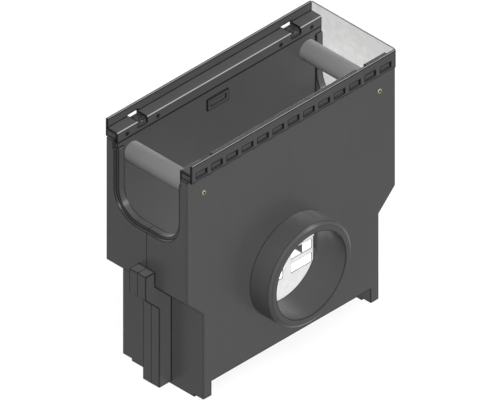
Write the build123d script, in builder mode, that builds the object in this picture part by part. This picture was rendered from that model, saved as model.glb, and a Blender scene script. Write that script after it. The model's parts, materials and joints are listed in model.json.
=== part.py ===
from build123d import *
import os
from math import radians, tan

# Inlet and silt box for a 150 mm drainage channel: a deep moulded box with two steel edge rails, two cross
# struts, a round outlet, a sheet metal end plate and a lift-out silt bucket.
# X runs along the channel, Y across it and Z up. The channel comes in at -X, the outlet points to -Y and the
# origin lies on the ground, below the middle of the overall outline. All sizes are in millimetres.

# Moulded box
box_length = 500.0  # over the two upper end faces
clear_width = 150.0  # between the long walls
side_wall = 22.0
end_wall = 19.3
wall_top = 485.5  # top of the long walls, under the rails
floor_underside = 34.3
floor_thickness = 20.0
taper_top = 221.0  # where the upper box starts to taper in
taper_recess = 39.5  # how far the lower box stands back at each end
corner_foot_lift = 5.0  # the outer corners of the feet clear the ground
edge_round = 1.5

# Channel openings in both ends
cheek_inset = 2.75  # the opening is this much narrower than the box at each side
channel_floor = 329.3
channel_radius = 48.3
cheek_top = 458.0  # above this the opening widens to the full clear width
cheek_round = 2.5
rebate_margin = 6.0  # the outer rebate is this much larger all round
rebate_depth = 5.0
shoulder_drop = 11.5  # the wall ends step down by this beside the rebate

# Upright rib in the middle of each end
rib_width = 39.0
rib_top = 250.3
rib_bend = 201.7
rib_proud_upper = 22.0
rib_proud_lower = 28.5

# Blank raised frame on the inside of the back wall
frame_width = 51.0
frame_height = 23.0
frame_proud = 2.4
frame_border = 6.3
frame_pocket_depth = 1.6
frame_bevel = 40.0  # degrees
frame_centre_x = -5.0
frame_centre_z = 440.5

# Edge rails
rail_sheet = 4.0
rail_reach = 28.0  # the flange's outer face stands this far out from the inside of the wall
seat_depth = 18.5  # top edge down to the ledge that carries the grating
flange_height = 39.0
lip_height = 20.9
bend_radius = 2.5
root_radius = 1.5
rail_edge_round = 1.2
window_count = 13
window_pitch = 36.8
window_length = 25.0
window_height = 10.0
window_round = 1.5
scallop_length = 31.0
scallop_rise = 2.6
head_inset = 1.0  # the moulding behind the flange stops this far above the scallops

# Locks for the grating, near both ends of each rail
lock_inset = 65.8  # from the end of the box
notch_length = 22.5
notch_depth = 12.5
slot_length = 18.5
slot_height = 6.0
pocket_width = 12.0
pocket_wall = 4.0  # moulding left between the pocket and the flange
pocket_depth = 9.5
clip_radius = 5.5
clip_sheet = 1.2
clip_height = 11.0
clip_gap = 6.0
stud_head = 7.0
stud_head_height = 2.5
stud_shank = 4.0
stud_length = 8.0
stud_drop = 4.0  # below the top of the wall
stud_recess = 2.6
stud_recess_depth = 1.4

# Rivets through the lips
rivet_diameter = 6.0
rivet_length = 12.0
rivet_sink = 0.6
rivet_core = 2.6
rivet_core_depth = 3.0
rivet_drop = 8.0  # below the top of the wall
rivet_inset = (28.7, 102.5)  # from the end of the box

# Cross struts
strut_diameter = 38.4
strut_wall = 3.0
strut_gap = 0.5  # to the inner face of the end wall
strut_drop = 49.0  # the struts' middle lies this far below the top of the wall
plug_length = 20.0
screw_diameter = 6.0
screw_length = 40.0
screw_head = 10.0
screw_head_height = 2.6
screw_head_round = 0.8
screw_socket = 4.0
screw_socket_depth = 1.6

# Round outlet
outlet_diameter = 200.0
outlet_bore = 166.0
outlet_tail = 184.0  # glued into the wall
outlet_reach = 48.6
outlet_chamfer_length = 4.9
outlet_face = 187.5
outlet_height = 182.7

# End plate
plate_sheet = 2.0
plate_gap = 0.5

# Silt bucket
bucket_length = 200.0
bucket_width = 105.0
bucket_height = 136.0
bucket_sheet = 1.5
bucket_corner = 5.0
bucket_slot_length = 49.0
bucket_slot_height = 19.0
bucket_slot_pitch = 69.0
bucket_slot_columns = 3
bucket_row_pitch = 28.5
bucket_row_count = 2
bucket_row_top = 102.0  # middle of the top row, above the bucket's base
band_sheet = 1.5
band_height = 21.0
lug_width = 24.0
lug_sheet = 2.0
lug_rise = 7.0  # above the handle's pivot
lug_drop = 22.0  # below the handle's pivot
lug_rivet_pitch = 13.0
lug_rivet_drop = 14.0
lug_rivet_diameter = 4.0
lug_rivet_head = 7.0
lug_rivet_head_height = 1.2
wire_diameter = 5.0
wire_bend = 12.0
pivot_bend = 4.0
pivot_head = 8.0
pivot_head_height = 1.5
pivot_play = 2.0  # between the lug and the head on the wire
arm_inset = 5.0  # the handle's arms run this far inside the bucket's sides

# Clearances
hole_gap = 0.1  # round a fastener, on the radius
pivot_gap = 0.05  # round the handle's pivot, on the radius
seat_gap = 0.3  # between rounded faces that rest on each other

# Places worked out from the sizes above
box_width = clear_width + 2 * side_wall
channel_width = clear_width - 2 * cheek_inset
half_length = box_length / 2
lower_half = half_length - taper_recess
taper_bottom = taper_top - taper_recess
inner_bevel = end_wall * tan(radians(22.5))
floor_top = floor_underside + floor_thickness
rib_upper = half_length + rib_proud_upper
rib_lower = lower_half + rib_proud_lower
rail_half_length = half_length - rebate_depth
shoulder = wall_top - shoulder_drop
ledge_top = wall_top + rail_sheet
rail_top = ledge_top + seat_depth
flange_outer = clear_width / 2 + rail_reach
flange_inner = flange_outer - rail_sheet
flange_bottom = rail_top - flange_height
lip_inner = clear_width / 2
lip_outer = lip_inner + rail_sheet
lip_bottom = ledge_top - lip_height
head_bottom = flange_bottom + scallop_rise + head_inset
window_middle = wall_top - window_height / 2
scallop_radius = ((scallop_length / 2) ** 2 + scallop_rise**2) / (2 * scallop_rise)
lock_x = half_length - lock_inset
notch_bottom = ledge_top - notch_depth
pocket_floor = wall_top - pocket_depth
pocket_y = flange_inner - pocket_wall - pocket_width / 2
stud_z = wall_top - stud_drop
rivet_z = wall_top - rivet_drop
strut_x = half_length - end_wall - strut_gap - strut_diameter / 2
strut_height = wall_top - strut_drop
mid_y = (outlet_reach + box_width / 2 - flange_outer) / 2  # middle plane of the box
bucket_top = floor_top + bucket_height
band_inner_length = bucket_length + 2 * seat_gap
band_inner_width = bucket_width + 2 * seat_gap
band_top = bucket_top + band_sheet
pivot_z = band_top + wire_diameter / 2 + seat_gap
lug_inner = band_inner_width / 2 + band_sheet
lug_outer = lug_inner + lug_sheet
lug_rivet_z = pivot_z - lug_rivet_drop
arm_y = bucket_width / 2 - arm_inset
handle_reach = band_inner_length / 2
window_places = [(i - (window_count - 1) / 2) * window_pitch for i in range(window_count)]
sides = {"back": 1, "front": -1}
ends = {"inlet": -1, "closed": 1}

os.makedirs("parts", exist_ok=True)


def across_plane(x):
    """Upright plane across the box at station x, facing +X. Its axes run across, from the middle, and up."""
    return Plane(origin=(x, mid_y, 0), x_dir=(0, 1, 0), z_dir=(1, 0, 0))


def along_plane(distance):
    """Upright plane along the box, this far from its middle towards +Y and facing -Y. Axes: along and up."""
    return Plane(origin=(0, mid_y + distance, 0), x_dir=(1, 0, 0), z_dir=(0, -1, 0))


def level_plane(z):
    """Horizontal plane at height z, centred on the box."""
    return Plane(origin=(0, mid_y, z))


def channel_section(x, margin, top):
    """The opening for the channel at station x, grown by margin and running up to top."""
    narrow = channel_width / 2 + margin
    wide = clear_width / 2 + margin
    bottom = channel_floor - margin
    with BuildSketch(across_plane(x)) as section:
        with BuildLine():
            Polyline(
                (-wide, top),
                (-wide, cheek_top),
                (-narrow, cheek_top),
                (-narrow, bottom),
                (narrow, bottom),
                (narrow, cheek_top),
                (wide, cheek_top),
                (wide, top),
                close=True,
            )
        make_face()
        fillet(section.vertices().group_by(Axis.Y)[1].sort_by(Axis.X)[1:3], radius=cheek_round)
        fillet(section.vertices().group_by(Axis.Y)[0], radius=channel_radius + margin)
    return section.sketch


# The box is one moulding. Its side outline steps down at the rail ends and tapers in to the lower box.
with BuildPart() as box_body:
    with BuildSketch(along_plane(0)):
        with BuildLine():
            Polyline(
                (0, 0),
                (lower_half, 0),
                (lower_half, taper_bottom),
                (half_length, taper_top),
                (half_length, shoulder),
                (rail_half_length, shoulder),
                (rail_half_length, wall_top),
                (0, wall_top),
            )
            mirror(about=Plane.YZ)
        make_face()
    extrude(amount=box_width / 2, both=True)
    side_outline = box_body.faces().filter_by(Axis.Y).edges()
    fillet(side_outline.filter_by(Axis.X, reverse=True), radius=edge_round)

    # Wider heads fill the rails' outer flanges from behind
    with BuildSketch(level_plane(head_bottom)):
        Rectangle(2 * rail_half_length, 2 * flange_inner)
    extrude(amount=wall_top - head_bottom)

    # A rib runs down the middle of each end
    with BuildSketch(along_plane(0)):
        with BuildLine():
            Polyline(
                (0, corner_foot_lift),
                (rib_lower, corner_foot_lift),
                (rib_lower, rib_bend - (rib_upper - rib_lower)),
                (rib_upper, rib_bend),
                (rib_upper, rib_top),
                (0, rib_top),
            )
            mirror(about=Plane.YZ)
        make_face()
    extrude(amount=rib_width / 2, both=True)

    # The inside follows the outside at the thickness of the end walls
    with BuildSketch(along_plane(0)):
        with BuildLine():
            Polyline(
                (0, floor_top),
                (lower_half - end_wall, floor_top),
                (lower_half - end_wall, taper_bottom + inner_bevel),
                (half_length - end_wall, taper_top + inner_bevel),
                (half_length - end_wall, wall_top),
                (0, wall_top),
            )
            mirror(about=Plane.YZ)
        make_face()
    extrude(amount=clear_width / 2, both=True, mode=Mode.SUBTRACT)

    for end in ends.values():
        face_x = end * half_length
        extrude(channel_section(face_x, 0, wall_top), amount=-end * end_wall, mode=Mode.SUBTRACT)
        rebate = channel_section(face_x, rebate_margin, wall_top)
        extrude(rebate, amount=-end * rebate_depth, mode=Mode.SUBTRACT)

    # The end walls reach below the floor as feet, with their corners clear of the ground
    with BuildSketch(along_plane(0)):
        with Locations((0, floor_underside / 2)):
            Rectangle(2 * (lower_half - end_wall), floor_underside)
    extrude(amount=box_width / 2, both=True, mode=Mode.SUBTRACT)
    with BuildSketch(level_plane(0)):
        with Locations(*[(0, side * (clear_width + side_wall) / 2) for side in sides.values()]):
            Rectangle(box_length, side_wall)
    extrude(amount=corner_foot_lift, mode=Mode.SUBTRACT)

    # Grooves for the rails' lips, and pockets for the lock clips behind them
    with BuildSketch(level_plane(lip_bottom)):
        Rectangle(2 * rail_half_length, 2 * lip_outer)
    extrude(amount=wall_top - lip_bottom, mode=Mode.SUBTRACT)
    with BuildSketch(level_plane(pocket_floor)):
        with Locations(*[(ex * lock_x, sy * pocket_y) for ex in (-1, 1) for sy in (-1, 1)]):
            Rectangle(slot_length, pocket_width)
    extrude(amount=pocket_depth, mode=Mode.SUBTRACT)

    # Holes for the strut screws, the lip rivets, the lock studs and the outlet
    with BuildSketch(along_plane(0)):
        with Locations((-strut_x, strut_height), (strut_x, strut_height)):
            Circle(screw_diameter / 2 + hole_gap)
    extrude(amount=box_width / 2, both=True, mode=Mode.SUBTRACT)
    with BuildSketch(along_plane(0)):
        with Locations(*[(ex * (half_length - inset), rivet_z) for ex in (-1, 1) for inset in rivet_inset]):
            Circle(rivet_diameter / 2 + hole_gap)
    extrude(amount=lip_inner + rivet_sink + rivet_length, both=True, mode=Mode.SUBTRACT)
    with BuildSketch(along_plane(0)):
        with Locations((-lock_x, stud_z), (lock_x, stud_z)):
            Circle(stud_shank / 2 + hole_gap)
    extrude(amount=lip_outer + stud_length, both=True, mode=Mode.SUBTRACT)
    with BuildSketch(along_plane(-clear_width / 2)):
        with Locations((0, outlet_height)):
            Circle(outlet_tail / 2 + hole_gap)
    extrude(amount=side_wall, mode=Mode.SUBTRACT)

    # A blank raised frame with a bevelled pocket, inside the back wall
    with BuildSketch(along_plane(clear_width / 2)):
        with Locations((frame_centre_x, frame_centre_z)):
            Rectangle(frame_width, frame_height)
    extrude(amount=frame_proud)
    with BuildSketch(along_plane(clear_width / 2 - frame_proud)):
        with Locations((frame_centre_x, frame_centre_z)):
            Rectangle(frame_width - 2 * frame_border, frame_height - 2 * frame_border)
    extrude(amount=-frame_pocket_depth, taper=frame_bevel, mode=Mode.SUBTRACT)
box_body.part.label = "box_body"
export_step(box_body.part, "parts/box_body.step")

# The outlet is a short pipe with a shoulder that seats on the wall and a chamfered mouth
with BuildPart() as outlet_spigot:
    with BuildSketch(across_plane(0)):
        with BuildLine():
            wall_face = -box_width / 2
            mouth = wall_face - outlet_reach
            Polyline(
                (-clear_width / 2, outlet_height + outlet_bore / 2),
                (-clear_width / 2, outlet_height + outlet_tail / 2),
                (wall_face, outlet_height + outlet_tail / 2),
                (wall_face, outlet_height + outlet_diameter / 2),
                (mouth + outlet_chamfer_length, outlet_height + outlet_diameter / 2),
                (mouth, outlet_height + outlet_face / 2),
                (mouth, outlet_height + outlet_bore / 2),
                close=True,
            )
        make_face()
    revolve(axis=Axis((0, mid_y, outlet_height), (0, 1, 0)))
outlet_spigot.part.label = "outlet_spigot"
export_step(outlet_spigot.part, "parts/outlet_spigot.step")

# Each rail is one profile: an outer flange, a ledge for the grating and a lip that hooks over the wall
for name, side in sides.items():
    with BuildPart() as rail:
        with BuildSketch(across_plane(0)) as section:
            with BuildLine():
                Polyline(
                    (side * flange_outer, flange_bottom),
                    (side * flange_outer, rail_top),
                    (side * flange_inner, rail_top),
                    (side * flange_inner, ledge_top),
                    (side * lip_inner, ledge_top),
                    (side * lip_inner, lip_bottom),
                    (side * lip_outer, lip_bottom),
                    (side * lip_outer, wall_top),
                    (side * flange_inner, wall_top),
                    (side * flange_inner, flange_bottom),
                    close=True,
                )
            make_face()
            fillet(section.vertices().group_by(Axis.Y)[-1], radius=rail_edge_round)
            ledge_corners = section.vertices().filter_by_position(Axis.Y, ledge_top, ledge_top)
            ledge_corners = ledge_corners.sort_by(lambda corner: abs(corner.X))
            fillet(ledge_corners[0], radius=bend_radius)
            fillet(ledge_corners[1], radius=root_radius)
        extrude(amount=rail_half_length, both=True)

        # Windows through the flange, and its scalloped lower edge
        with BuildSketch(along_plane(side * flange_inner)):
            with Locations(*[(x, window_middle) for x in window_places]):
                RectangleRounded(window_length, window_height, window_round)
            with Locations(*[(x, flange_bottom + scallop_rise - scallop_radius) for x in window_places]):
                Circle(scallop_radius)
        extrude(amount=-side * rail_sheet, mode=Mode.SUBTRACT)

        # Lock notches through the ledge and the top of the lip, each with a slot in the foot of the flange
        notch_rise = notch_depth + root_radius
        with BuildSketch(along_plane(side * lip_inner)):
            with Locations(*[(x, notch_bottom + notch_rise / 2) for x in (-lock_x, lock_x)]):
                Rectangle(notch_length, notch_rise)
        extrude(amount=-side * (flange_inner - lip_inner), mode=Mode.SUBTRACT)
        with BuildSketch(along_plane(side * flange_inner)):
            with Locations(*[(x, ledge_top + slot_height / 2) for x in (-lock_x, lock_x)]):
                Rectangle(slot_length, slot_height)
        extrude(amount=-side * rail_sheet, mode=Mode.SUBTRACT)

        # Rivet holes through the lip
        with BuildSketch(along_plane(side * lip_inner)):
            with Locations(*[(ex * (half_length - i), rivet_z) for ex in (-1, 1) for i in rivet_inset]):
                Circle(rivet_diameter / 2 + hole_gap)
        extrude(amount=-side * rail_sheet, mode=Mode.SUBTRACT)
    rail.part.label = f"edge_rail_{name}"
    export_step(rail.part, f"parts/edge_rail_{name}.step")

    # Hollow rivets, two near each end, sunk a little below the face of the lip
    for end_name, end in ends.items():
        for number, inset in enumerate(rivet_inset, start=1):
            with BuildPart() as lip_rivet:
                with BuildSketch(along_plane(side * (lip_inner + rivet_sink))):
                    with Locations((end * (half_length - inset), rivet_z)):
                        Circle(rivet_diameter / 2)
                extrude(amount=-side * rivet_length)
                with BuildSketch(along_plane(side * (lip_inner + rivet_sink))):
                    with Locations((end * (half_length - inset), rivet_z)):
                        Circle(rivet_core / 2)
                extrude(amount=-side * rivet_core_depth, mode=Mode.SUBTRACT)
            label = f"lip_rivet_{name}_{end_name}_{number}"
            lip_rivet.part.label = label
            export_step(lip_rivet.part, f"parts/{label}.step")

        # A bent spring strip stands in the pocket below each notch, open towards the inside of the box
        with BuildPart() as lock_clip:
            with BuildSketch(level_plane(pocket_floor)):
                with Locations((end * lock_x, side * pocket_y)):
                    Circle(clip_radius)
                    Circle(clip_radius - clip_sheet, mode=Mode.SUBTRACT)
                with Locations((end * lock_x, side * (pocket_y - clip_radius))):
                    Rectangle(clip_gap, 2 * clip_radius, mode=Mode.SUBTRACT)
            extrude(amount=clip_height)
        lock_clip.part.label = f"lock_clip_{name}_{end_name}"
        export_step(lock_clip.part, f"parts/lock_clip_{name}_{end_name}.step")

        # A stud faces the inside of the box through the notch in the lip
        with BuildPart() as lock_stud:
            head_face = side * (lip_outer - stud_head_height)
            with BuildSketch(along_plane(side * lip_outer)):
                with Locations((end * lock_x, stud_z)):
                    Circle(stud_head / 2)
            extrude(amount=side * stud_head_height)
            with BuildSketch(along_plane(side * lip_outer)):
                with Locations((end * lock_x, stud_z)):
                    Circle(stud_shank / 2)
            extrude(amount=-side * stud_length)
            with BuildSketch(along_plane(head_face)):
                with Locations((end * lock_x, stud_z)):
                    Circle(stud_recess / 2)
            extrude(amount=-side * stud_recess_depth, mode=Mode.SUBTRACT)
        lock_stud.part.label = f"lock_stud_{name}_{end_name}"
        export_step(lock_stud.part, f"parts/lock_stud_{name}_{end_name}.step")

# Each strut is a tube with a plug in both ends, held by a screw through either long wall
for end_name, end in ends.items():
    with BuildPart() as strut_tube:
        with BuildSketch(along_plane(0)):
            with Locations((end * strut_x, strut_height)):
                Circle(strut_diameter / 2)
                Circle(strut_diameter / 2 - strut_wall, mode=Mode.SUBTRACT)
        extrude(amount=clear_width / 2, both=True)
    strut_tube.part.label = f"strut_tube_{end_name}"
    export_step(strut_tube.part, f"parts/strut_tube_{end_name}.step")

    for name, side in sides.items():
        with BuildPart() as strut_plug:
            with BuildSketch(along_plane(side * clear_width / 2)):
                with Locations((end * strut_x, strut_height)):
                    Circle(strut_diameter / 2 - strut_wall - hole_gap)
                    Circle(screw_diameter / 2 + hole_gap, mode=Mode.SUBTRACT)
            extrude(amount=side * plug_length)
        strut_plug.part.label = f"strut_plug_{end_name}_{name}"
        export_step(strut_plug.part, f"parts/strut_plug_{end_name}_{name}.step")

        with BuildPart() as strut_screw:
            with BuildSketch(along_plane(side * box_width / 2)):
                with Locations((end * strut_x, strut_height)):
                    Circle(screw_head / 2)
            extrude(amount=-side * screw_head_height)
            outer_rim = strut_screw.edges().sort_by(lambda edge: side * edge.center().Y)[-1]
            fillet(outer_rim, radius=screw_head_round)
            with BuildSketch(along_plane(side * (box_width / 2 + screw_head_height))):
                with Locations((end * strut_x, strut_height)):
                    RegularPolygon(screw_socket / 2, 6, major_radius=False)
            extrude(amount=side * screw_socket_depth, mode=Mode.SUBTRACT)
            with BuildSketch(along_plane(side * box_width / 2)):
                with Locations((end * strut_x, strut_height)):
                    Circle(screw_diameter / 2)
            extrude(amount=side * screw_length)
        strut_screw.part.label = f"strut_screw_{end_name}_{name}"
        export_step(strut_screw.part, f"parts/strut_screw_{end_name}_{name}.step")

# The end plate drops into the rebate of the closed end and stands on the shoulders, up to the rail tops
with BuildPart() as end_plate:
    extrude(channel_section(rail_half_length, rebate_margin - plate_gap, shoulder), amount=plate_sheet)
    with BuildSketch(across_plane(rail_half_length)):
        with Locations((0, (shoulder + rail_top) / 2)):
            Rectangle(2 * flange_inner, rail_top - shoulder)
    extrude(amount=plate_sheet)
end_plate.part.label = "end_plate"
export_step(end_plate.part, "parts/end_plate.step")

# The bucket is folded from slotted sheet and stands on the floor of the box
with BuildPart() as bucket_shell:
    with BuildSketch(level_plane(floor_top)):
        RectangleRounded(bucket_length, bucket_width, bucket_corner)
    extrude(amount=bucket_height)
    offset(amount=-bucket_sheet, openings=bucket_shell.faces().sort_by(Axis.Z)[-1])
    rows = [floor_top + bucket_row_top - row * bucket_row_pitch for row in range(bucket_row_count)]
    columns = [(i - (bucket_slot_columns - 1) / 2) * bucket_slot_pitch for i in range(bucket_slot_columns)]
    with BuildSketch(along_plane(0)):
        with Locations(*[(x, z) for x in columns for z in rows]):
            Rectangle(bucket_slot_length, bucket_slot_height)
    extrude(amount=bucket_width / 2, both=True, mode=Mode.SUBTRACT)
    with BuildSketch(across_plane(0)):
        with Locations(*[(0, z) for z in rows]):
            Rectangle(bucket_slot_length, bucket_slot_height)
    extrude(amount=bucket_length / 2, both=True, mode=Mode.SUBTRACT)
    with BuildSketch(along_plane(0)):
        with Locations((-lug_rivet_pitch / 2, lug_rivet_z), (lug_rivet_pitch / 2, lug_rivet_z)):
            Circle(lug_rivet_diameter / 2 + hole_gap)
    extrude(amount=bucket_width / 2, both=True, mode=Mode.SUBTRACT)
bucket_shell.part.label = "bucket_shell"
export_step(bucket_shell.part, "parts/bucket_shell.step")

# A folded band stiffens the bucket's rim and hangs over its top edge
with BuildPart() as bucket_band:
    with BuildSketch(level_plane(band_top - band_height)):
        outer_corner = bucket_corner + seat_gap + band_sheet
        RectangleRounded(
            band_inner_length + 2 * band_sheet, band_inner_width + 2 * band_sheet, outer_corner
        )
    extrude(amount=band_height)
    with BuildSketch(level_plane(band_top - band_height)):
        RectangleRounded(band_inner_length, band_inner_width, bucket_corner + seat_gap)
    extrude(amount=band_height - band_sheet, mode=Mode.SUBTRACT)
    with BuildSketch(level_plane(bucket_top)):
        inner_corner = bucket_corner - bucket_sheet
        RectangleRounded(bucket_length - 2 * bucket_sheet, bucket_width - 2 * bucket_sheet, inner_corner)
    extrude(amount=band_sheet, mode=Mode.SUBTRACT)
    with BuildSketch(along_plane(0)):
        with Locations((-lug_rivet_pitch / 2, lug_rivet_z), (lug_rivet_pitch / 2, lug_rivet_z)):
            Circle(lug_rivet_diameter / 2 + hole_gap)
    extrude(amount=lug_inner, both=True, mode=Mode.SUBTRACT)
bucket_band.part.label = "bucket_band"
export_step(bucket_band.part, "parts/bucket_band.step")

# Two lugs carry the handle, each held by two rivets
for name, side in sides.items():
    with BuildPart() as handle_lug:
        with BuildSketch(along_plane(side * lug_inner)) as lug_outline:
            with Locations((0, pivot_z + (lug_rise - lug_drop) / 2)):
                Rectangle(lug_width, lug_rise + lug_drop)
            fillet(lug_outline.vertices().group_by(Axis.Y)[-1], radius=lug_rise)
            with Locations((0, pivot_z)):
                Circle(wire_diameter / 2 + pivot_gap, mode=Mode.SUBTRACT)
            with Locations((-lug_rivet_pitch / 2, lug_rivet_z), (lug_rivet_pitch / 2, lug_rivet_z)):
                Circle(lug_rivet_diameter / 2 + hole_gap, mode=Mode.SUBTRACT)
        extrude(amount=-side * lug_sheet)
    handle_lug.part.label = f"handle_lug_{name}"
    export_step(handle_lug.part, f"parts/handle_lug_{name}.step")

    for number, end in enumerate((-1, 1), start=1):
        with BuildPart() as lug_rivet:
            rivet_x = end * lug_rivet_pitch / 2
            inner_face = bucket_width / 2 - bucket_sheet
            with BuildSketch(along_plane(side * inner_face)):
                with Locations((rivet_x, lug_rivet_z)):
                    Circle(lug_rivet_diameter / 2)
            extrude(amount=-side * (lug_outer - inner_face))
            with BuildSketch(along_plane(side * lug_outer)):
                with Locations((rivet_x, lug_rivet_z)):
                    Circle(lug_rivet_head / 2)
            extrude(amount=-side * lug_rivet_head_height)
            with BuildSketch(along_plane(side * inner_face)):
                with Locations((rivet_x, lug_rivet_z)):
                    Circle(lug_rivet_head / 2)
            extrude(amount=side * lug_rivet_head_height)
        lug_rivet.part.label = f"lug_rivet_{name}_{number}"
        export_step(lug_rivet.part, f"parts/lug_rivet_{name}_{number}.step")

# The handle is one bent wire. It lies on the rim of the bucket's closed-end side and swings over to the other
with BuildPart() as bucket_handle:
    tip_y = lug_outer + pivot_play
    with BuildLine(level_plane(pivot_z)) as wire:
        FilletPolyline(
            (0, -tip_y),
            (0, -arm_y),
            (handle_reach, -arm_y),
            (handle_reach, arm_y),
            (0, arm_y),
            (0, tip_y),
            radius=(pivot_bend, wire_bend, wire_bend, pivot_bend),
        )
    with BuildSketch(along_plane(-tip_y)):
        with Locations((0, pivot_z)):
            Circle(wire_diameter / 2)
    sweep(path=wire.wire())
    for side in sides.values():
        with BuildSketch(along_plane(side * tip_y)):
            with Locations((0, pivot_z)):
                Circle(pivot_head / 2)
        extrude(amount=-side * pivot_head_height)
bucket_handle.part.label = "bucket_handle"
export_step(bucket_handle.part, "parts/bucket_handle.step")
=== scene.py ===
"""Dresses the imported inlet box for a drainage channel: the flanges of its edge rails, smooth turned and bent
fittings, mould seams, finishes for every part, and a plain studio. All sizes are in metres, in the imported
model's frame."""

import json
from math import cos, pi, radians, sin

import bmesh
import bpy
import numpy as np
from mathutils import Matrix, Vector


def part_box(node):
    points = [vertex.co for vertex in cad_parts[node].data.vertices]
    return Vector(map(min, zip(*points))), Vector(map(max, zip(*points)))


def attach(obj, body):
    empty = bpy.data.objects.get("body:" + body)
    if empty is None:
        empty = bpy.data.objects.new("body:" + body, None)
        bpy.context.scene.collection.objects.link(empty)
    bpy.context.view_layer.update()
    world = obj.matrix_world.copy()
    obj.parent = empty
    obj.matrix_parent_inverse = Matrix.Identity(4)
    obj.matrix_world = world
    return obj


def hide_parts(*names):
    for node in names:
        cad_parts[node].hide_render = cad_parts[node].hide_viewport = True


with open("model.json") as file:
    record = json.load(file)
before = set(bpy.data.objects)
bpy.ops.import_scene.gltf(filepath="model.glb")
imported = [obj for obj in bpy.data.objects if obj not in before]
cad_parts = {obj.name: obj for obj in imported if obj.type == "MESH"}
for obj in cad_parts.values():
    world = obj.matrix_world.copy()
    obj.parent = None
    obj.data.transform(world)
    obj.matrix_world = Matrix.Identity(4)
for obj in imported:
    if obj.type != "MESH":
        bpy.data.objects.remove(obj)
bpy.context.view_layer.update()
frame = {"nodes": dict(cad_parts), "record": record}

bl_info = {
    "name": "Channel Drain Inlet Box",
    "version": (1, 0, 0),
    "blender": (4, 5, 0),
    "location": "3D View > Sidebar > Inlet Box",
    "description": "Fittings, finishes and studio for an inlet box of a drainage channel",
    "category": "Add Mesh",
}

SIDES = {"front": -1, "back": 1}
ENDS = {"inlet": -1, "closed": 1}
MIDDLE_Y = sum(corner.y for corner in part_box("strut_tube_inlet")) / 2
MOUNTS = {mount["name"]: mount for mount in frame["record"]["mounts"]}
OUTLET_BORE = 2 * MOUNTS["outlet_bore"]["dims"]["r_mm"] / 1000

# The moulded box: half its length and width, and the heights and depths that the parting seam follows
HALF_LENGTH = 0.25
HALF_WIDTH = 0.097
CHANNEL_FLOOR = 0.3293
REBATE_FLOOR = 0.3233
REBATE_DEPTH = 0.005
END_WALL = 0.019
RIB_TOP = 0.2503
RIB_BEND = 0.2017
RIB_STEP = 0.033
FOOT_BOTTOM = 0.0052

# Where the moulded heads under the rails begin, the end plate's top, and the least radius on an edge
RAIL_HEAD_FOOT = 0.46
PLATE_TOP = 0.508
SMALL_ROUND = 0.0002


class OutletSizes(bpy.types.PropertyGroup):
    """Sizes of the glued-in outlet that its outline box doesn't give."""

    bore: bpy.props.FloatProperty(
        name="Bore", description="Inside diameter", default=OUTLET_BORE, min=0.01, unit="LENGTH"
    )
    tail: bpy.props.FloatProperty(
        name="Tail", description="Diameter of the part glued into the wall", default=0.184, unit="LENGTH"
    )
    tail_length: bpy.props.FloatProperty(
        name="Tail length", description="Thickness of the wall that it passes", default=0.022, unit="LENGTH"
    )
    face: bpy.props.FloatProperty(
        name="Mouth", description="Outside diameter of the mouth's flat face", default=0.1875, unit="LENGTH"
    )
    chamfer: bpy.props.FloatProperty(
        name="Chamfer", description="Length of the lead-in at the mouth", default=0.0049, unit="LENGTH"
    )
    edge: bpy.props.FloatProperty(
        name="Edge round", description="Radius on the turned edges", default=0.0006, unit="LENGTH"
    )


class RailSizes(bpy.types.PropertyGroup):
    """Sizes of the flanges on the edge rails."""

    sheet: bpy.props.FloatProperty(
        name="Sheet", description="Thickness of the rails' sheet", default=0.004, unit="LENGTH"
    )
    height: bpy.props.FloatProperty(
        name="Flange", description="Height of the outer flange", default=0.0363, unit="LENGTH"
    )
    top_round: bpy.props.FloatProperty(
        name="Top round", description="Radius along the top edges", default=0.0012, unit="LENGTH"
    )
    pitch: bpy.props.FloatProperty(
        name="Window pitch", description="From window to window", default=0.0368, unit="LENGTH"
    )
    window_length: bpy.props.FloatProperty(
        name="Window length", description="Length of each window and relief", default=0.025, unit="LENGTH"
    )
    window_height: bpy.props.FloatProperty(
        name="Window height", description="Height of each window", default=0.0098, unit="LENGTH"
    )
    window_rise: bpy.props.FloatProperty(
        name="Window rise", description="From the top of the wall to the top of a window", default=0.0032,
        unit="LENGTH",
    )
    margin: bpy.props.FloatProperty(
        name="End margin", description="Least sheet between the last window and the rail's end", default=0.01,
        unit="LENGTH",
    )
    scallop_length: bpy.props.FloatProperty(
        name="Scallop length", description="Length of the hollows in the lower edge", default=0.031,
        unit="LENGTH",
    )
    scallop_rise: bpy.props.FloatProperty(
        name="Scallop rise", description="How far the hollows reach up", default=0.0013, unit="LENGTH"
    )
    relief_height: bpy.props.FloatProperty(
        name="Relief height", description="From the top of the wall to the top of the relief at each lock",
        default=0.0068, unit="LENGTH",
    )
    relief_depth: bpy.props.FloatProperty(
        name="Relief depth", description="How deep the relief cuts into the inner face", default=0.003,
        unit="LENGTH",
    )
    # the dark run is painted shade along the cut edges
    edge_line: bpy.props.FloatProperty(
        name="Edge line", description="Width of the dark run along each cut edge", default=0.0018,
        unit="LENGTH",
    )


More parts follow.
